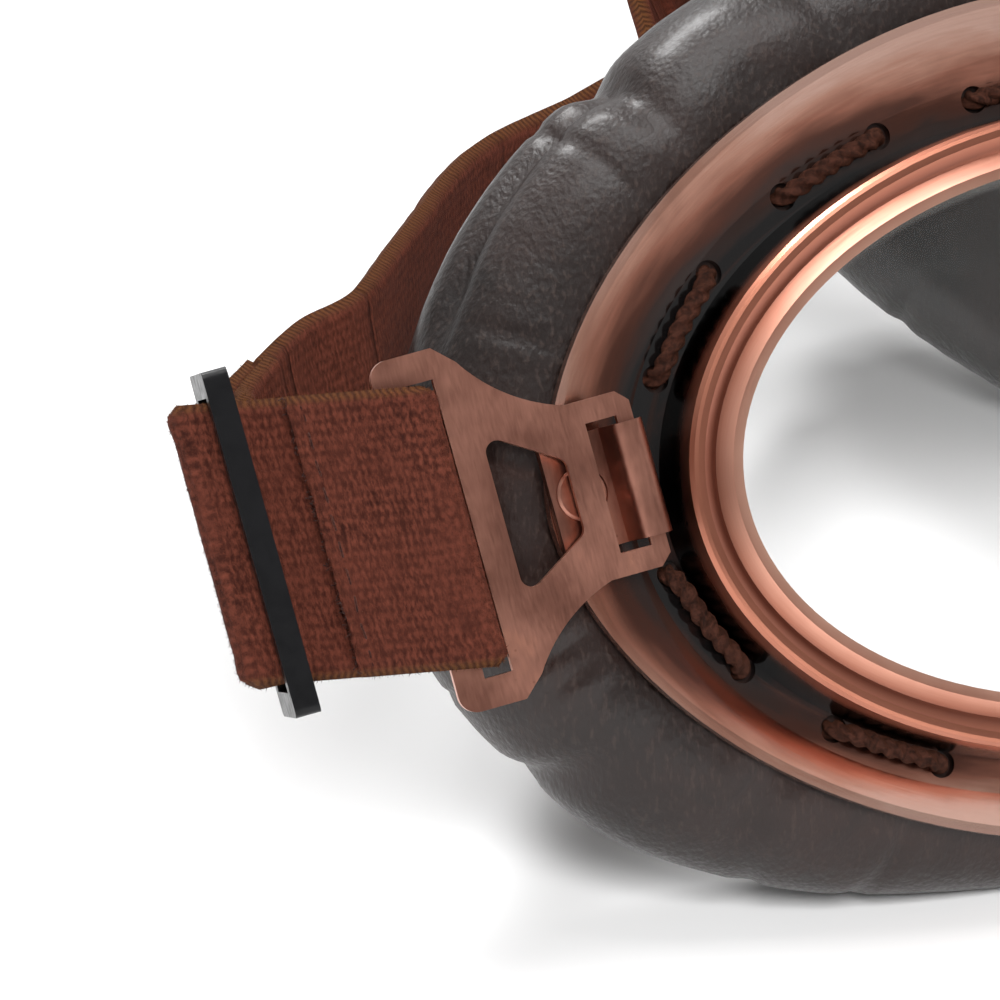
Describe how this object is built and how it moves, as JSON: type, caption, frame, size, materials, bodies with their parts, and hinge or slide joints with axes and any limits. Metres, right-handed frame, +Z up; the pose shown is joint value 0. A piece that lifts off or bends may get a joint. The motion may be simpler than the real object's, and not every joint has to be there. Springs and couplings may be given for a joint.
{
  "type": "flying goggles",
  "caption": "Flying goggles with oval glass lenses in laced copper frames on padded leather cups, folded at the nose, with strap buckles, slide rings and an elastic head strap.",
  "frame": {"origin": "on the table, under the middle of the whole object", "axes": "+Z up; -Y towards the nose link, which is the front; +X from the wearer's right cup to the left cup"},
  "size_m": [0.1776, 0.119, 0.079],
  "materials": {
    "lens_glass": "clear polished flat glass",
    "bezel_copper": "brushed copper with a darkened groove",
    "plate_copper": "brushed copper, worn bright at the rim",
    "fitting_copper": "rolled copper strip, dulled",
    "rivet_copper": "domed copper head, polished by wear",
    "buckle_copper": "stamped copper with soft edges",
    "gasket_rubber": "matte black rubber",
    "retainer_steel": "thin sprung steel",
    "lace_cord": "round twisted lace, fuzzy",
    "pad_leather": "soft grained leather, dark brown, grey where worn",
    "pad_foam": "open felted wadding",
    "strap_webbing": "knitted elastic webbing with a velvet face and woven edges",
    "seam_thread": "close zigzag stitching",
    "slider_enamel": "black enamel, chipped at the edges"
  },
  "bodies": {
    "bridge": {"nose_link": "buckle_copper", "head_strap": "strap_webbing"},
    "right_cup": {"lens_right": "lens_glass", "bezel_right": "bezel_copper", "lens_gasket_right": "gasket_rubber", "lens_retainer_right": "retainer_steel", "front_plate_right": "plate_copper", "lace_right": "lace_cord", "leather_pad_right": "pad_leather", "pad_foam_right": "pad_foam", "side_tab_right": "fitting_copper", "side_rivet_right": "rivet_copper", "nose_tab_right": "fitting_copper", "nose_rivet_right": "rivet_copper"},
    "right_buckle": {"buckle_right": "buckle_copper", "strap_end_right": "strap_webbing", "strap_bartack_right": "seam_thread"},
    "right_slider": {"slider_right": "slider_enamel", "head_loop_right": "strap_webbing"},
    "left_cup": {"lens_left": "lens_glass", "bezel_left": "bezel_copper", "lens_gasket_left": "gasket_rubber", "lens_retainer_left": "retainer_steel", "front_plate_left": "plate_copper", "lace_left": "lace_cord", "leather_pad_left": "pad_leather", "pad_foam_left": "pad_foam", "side_tab_left": "fitting_copper", "side_rivet_left": "rivet_copper", "nose_tab_left": "fitting_copper", "nose_rivet_left": "rivet_copper"},
    "left_buckle": {"buckle_left": "buckle_copper", "strap_end_left": "strap_webbing", "strap_bartack_left": "seam_thread"},
    "left_slider": {"slider_left": "slider_enamel", "head_loop_left": "strap_webbing"}
  },
  "joints": [
    {"name": "right_cup_hinge", "type": "hinge", "parent": "bridge", "child": "right_cup", "pos_m": [-0.007, -0.0581, 0.0422], "axis": [0, 0, 1], "range_deg": [0, 42], "deforming": ["head_strap"]},
    {"name": "right_buckle_hinge", "type": "hinge", "parent": "right_cup", "child": "right_buckle", "pos_m": [-0.06834, 0.0191, 0.04379], "axis": [0.2781, 0.3279, 0.9029], "range_deg": [0, 30], "deforming": ["head_strap"]},
    {"name": "right_slider_slide", "type": "slide", "parent": "right_buckle", "child": "right_slider", "axis": [-0.4042, 0.9147, 0.002], "range_m": [-0.003, 0.003], "deforming": ["head_strap"]},
    {"name": "left_cup_hinge", "type": "hinge", "parent": "bridge", "child": "left_cup", "pos_m": [0.007, -0.0581, 0.0422], "axis": [0, 0, -1], "range_deg": [0, 42], "deforming": ["head_strap"]},
    {"name": "left_buckle_hinge", "type": "hinge", "parent": "left_cup", "child": "left_buckle", "pos_m": [0.06834, 0.0191, 0.04379], "axis": [0.2781, -0.3279, -0.9029], "range_deg": [0, 30], "deforming": ["head_strap"]},
    {"name": "left_slider_slide", "type": "slide", "parent": "left_buckle", "child": "left_slider", "axis": [0.4042, 0.9147, 0.002], "range_m": [-0.003, 0.003], "deforming": ["head_strap"]}
  ]
}
